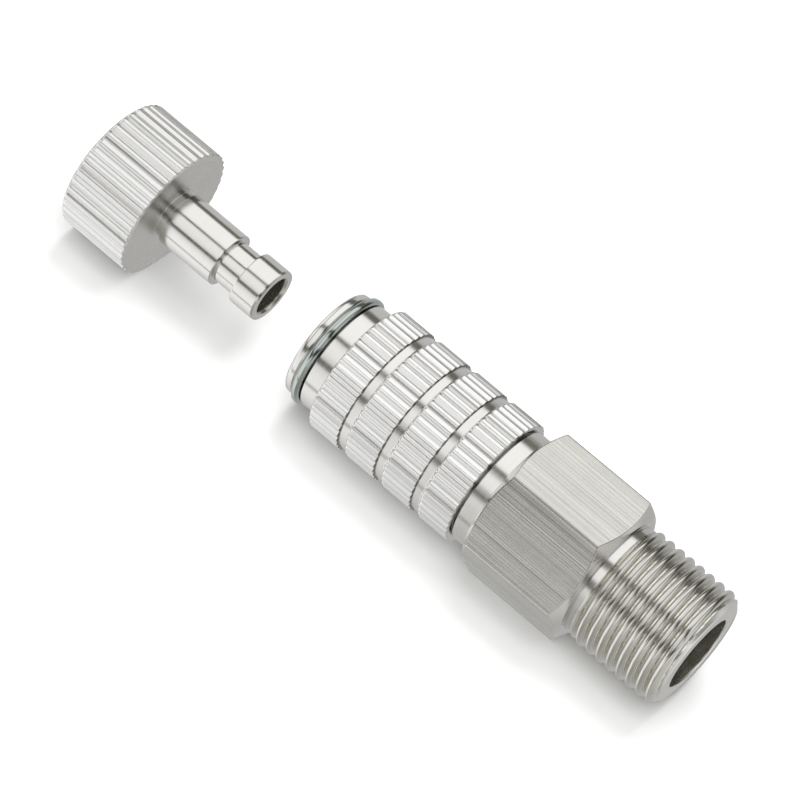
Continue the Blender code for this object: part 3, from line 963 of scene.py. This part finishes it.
# The light round the coupler, as (degrees up from the horizon on the camera's side, brightness).
# The narrow dim gaps between the bright panels are what draws dark lines along the round metal.
PANELS = (
    (-180, 0.6),
    (-110, 0.55),
    (-60, 1.1),
    (-46, 1.14),
    (-43, 0.4),
    (-40, 0.4),
    (-37, 1.18),
    (-12, 1.1),
    (5, 0.85),
    (9, 0.12),
    (18, 0.12),
    (22, 1.0),
    (62, 1.1),
    (65, 0.14),
    (70, 0.14),
    (73, 1.15),
    (136, 1.15),
    (141, 0.14),
    (156, 0.14),
    (162, 0.65),
    (180, 0.6),
)
# The panels end further apart beside the male thread, which makes the gaps between them wider there.
WIDE_PANELS = (
    (-180, 0.5),
    (-110, 0.5),
    (-60, 0.34),
    (-12, 0.48),
    (9, 1.0),
    (16, 0.14),
    (27, 0.12),
    (33, 1.0),
    (54, 1.1),
    (59, 0.16),
    (71, 0.16),
    (76, 1.15),
    (137, 1.12),
    (143, 0.16),
    (166, 0.16),
    (172, 0.5),
    (180, 0.5),
)
# The tint of the gaps' light, and the shares of the brightest panel between which it turns white
GAP_TINT = (1.0, 0.95, 0.78)
GAP_LEVELS = (0.1, 0.4)
# Along is a direction's part along the axis, from -1 to 1, positive towards the male thread.
# The panels change from the first set to the second between these values of along.
PANEL_CHANGE = (-0.255, -0.215)
# How much of the panels' light is left along the axis, as (position, brightness), where along is -1
# at position 0 and 1 at position 1.
PANEL_ENDS = (
    (0.0, 1.0),
    (0.16, 1.0),
    (0.2, 0.4),
    (0.26, 0.4),
    (0.31, 1.0),
    (0.51, 1.0),
    (0.59, 0.22),
    (0.75, 0.45),
    (0.85, 0.75),
    (1.0, 0.8),
)
# Below the horizon it grows between the first two values of along, from the third number to the fourth.
BELOW_ENDS = (0.5, 0.9, 1.0, 1.7)
# How far up a direction points where the light from below gives way to the light from above
HORIZON = (-0.02, 0.05)


def panel_light(n, along, across, up, brightest):
    """The panels' brightness in a direction, as a share of the brightest one."""
    turn = n.math("ARCTAN2", up, n.math("MULTIPLY", across, -1))
    share = n.spread(turn, -math.pi, math.pi, 0, 1)
    tones = []
    for panels in (PANELS, WIDE_PANELS):
        stops = [((degrees + 180) / 360, value / brightest) for degrees, value in panels]
        tones.append(n.ramp(share, stops))
    return n.spread(along, *PANEL_CHANGE, *tones)


def panel_reach(n, along, up):
    """How much of the panels' light is left in a direction, because they end along the axis."""
    above = n.ramp(n.spread(along, -1, 1, 0, 1), PANEL_ENDS)
    below = n.spread(along, *BELOW_ENDS)
    return n.spread(up, *HORIZON, below, above)


def make_world():
    """The panels light the coupler from every direction. The camera sees plain white behind it."""
    world = bpy.data.worlds.new("studio")
    bpy.context.scene.world = world
    world.use_nodes = True
    world.node_tree.nodes.clear()
    n = Nodes(world.node_tree)
    direction = n.add("ShaderNodeTexCoord").outputs["Generated"]
    along, across, up = n.add("ShaderNodeSeparateXYZ", {0: direction}).outputs
    brightest = max(value for degrees, value in PANELS + WIDE_PANELS)
    tone = panel_light(n, along, across, up, brightest)
    strength = n.math("MULTIPLY", panel_reach(n, along, up), brightest)
    tint = n.mixed(n.spread(tone, *GAP_LEVELS, 0, 1), GAP_TINT, (1, 1, 1))
    level = n.add("ShaderNodeVectorMath", {0: tint, "Scale": tone}, operation="SCALE").outputs[0]
    light = n.add("ShaderNodeBackground", {0: level, 1: strength}).outputs[0]
    plain = n.add("ShaderNodeBackground", {0: (1, 1, 1, 1), 1: 1.0}).outputs[0]
    camera_ray = n.add("ShaderNodeLightPath").outputs["Is Camera Ray"]
    seen = n.add("ShaderNodeMixShader", {0: camera_ray, 1: light, 2: plain}).outputs[0]
    n.add("ShaderNodeOutputWorld", {0: seen})


def make_light(name, place, size, power):
    """A square soft lamp that faces the middle of the coupler."""
    data = bpy.data.lights.new(name, "AREA")
    data.shape = "SQUARE"
    data.size = size * MM
    data.energy = power
    lamp = bpy.data.objects.new(name, data)
    bpy.context.scene.collection.objects.link(lamp)
    spot = Vector(place) * MM
    aim = Vector((0, 0, AXIS * MM))
    lamp.location = spot
    lamp.rotation_mode = "QUATERNION"
    lamp.rotation_quaternion = (aim - spot).to_track_quat("-Z", "Y")
    lamp.visible_camera = False
    lamp.visible_glossy = False


def make_camera():
    data = bpy.data.cameras.new("camera")
    camera = bpy.data.objects.new("camera", data)
    bpy.context.scene.collection.objects.link(camera)
    azimuth = math.radians(CAMERA_AZIMUTH)
    elevation = math.radians(CAMERA_ELEVATION)
    away = Vector(
        (
            math.sin(azimuth) * math.cos(elevation),
            -math.cos(azimuth) * math.cos(elevation),
            math.sin(elevation),
        )
    )
    level = (-away).to_track_quat("-Z", "Y").to_matrix().to_4x4()
    roll = Matrix.Rotation(math.radians(CAMERA_ROLL), 4, "Z")
    spot = (Vector(CAMERA_AIM) + away * CAMERA_DISTANCE) * MM
    camera.matrix_world = Matrix.Translation(spot) @ level @ roll
    data.sensor_width = 36
    data.lens = CAMERA_LENS
    data.clip_start = 0.01
    data.clip_end = 10
    bpy.context.scene.camera = camera


def main():
    make_hex_body()
    make_barrel()
    make_stop_ring()
    make_o_ring("tip_seal", "root", "rubber", black_rubber)
    make_ring("barrel_gasket", "root", "fibre", red_fibre, inner=2.75)
    make_ring("spring_seat", "root", "steel", steel, inner=BARREL_OUT + 0.1)
    make_valve_retainer()
    make_retainer_clip()
    make_sleeve()
    make_ring("spring_front_washer", "sleeve_carrier", "steel", steel, inner=BARREL_OUT + 0.1)
    make_spring("sleeve_spring", mean=3.85, wire=0.25, turns=6)
    make_balls()
    make_poppet()
    make_o_ring("poppet_seal", "poppet", "rubber", black_rubber)
    make_spring("valve_spring", mean=1.95, wire=0.2, turns=5)
    make_plug()
    make_ring("plug_gasket", "plug", "rubber", black_rubber, inner=2.2)
    make_floor()
    make_world()
    make_light("key", place=(-20, 105, 300), size=190, power=0.44)
    make_light("fill", place=(60, -160, 320), size=260, power=0.78)
    make_camera()
    bpy.context.scene.view_settings.view_transform = "Standard"


main()
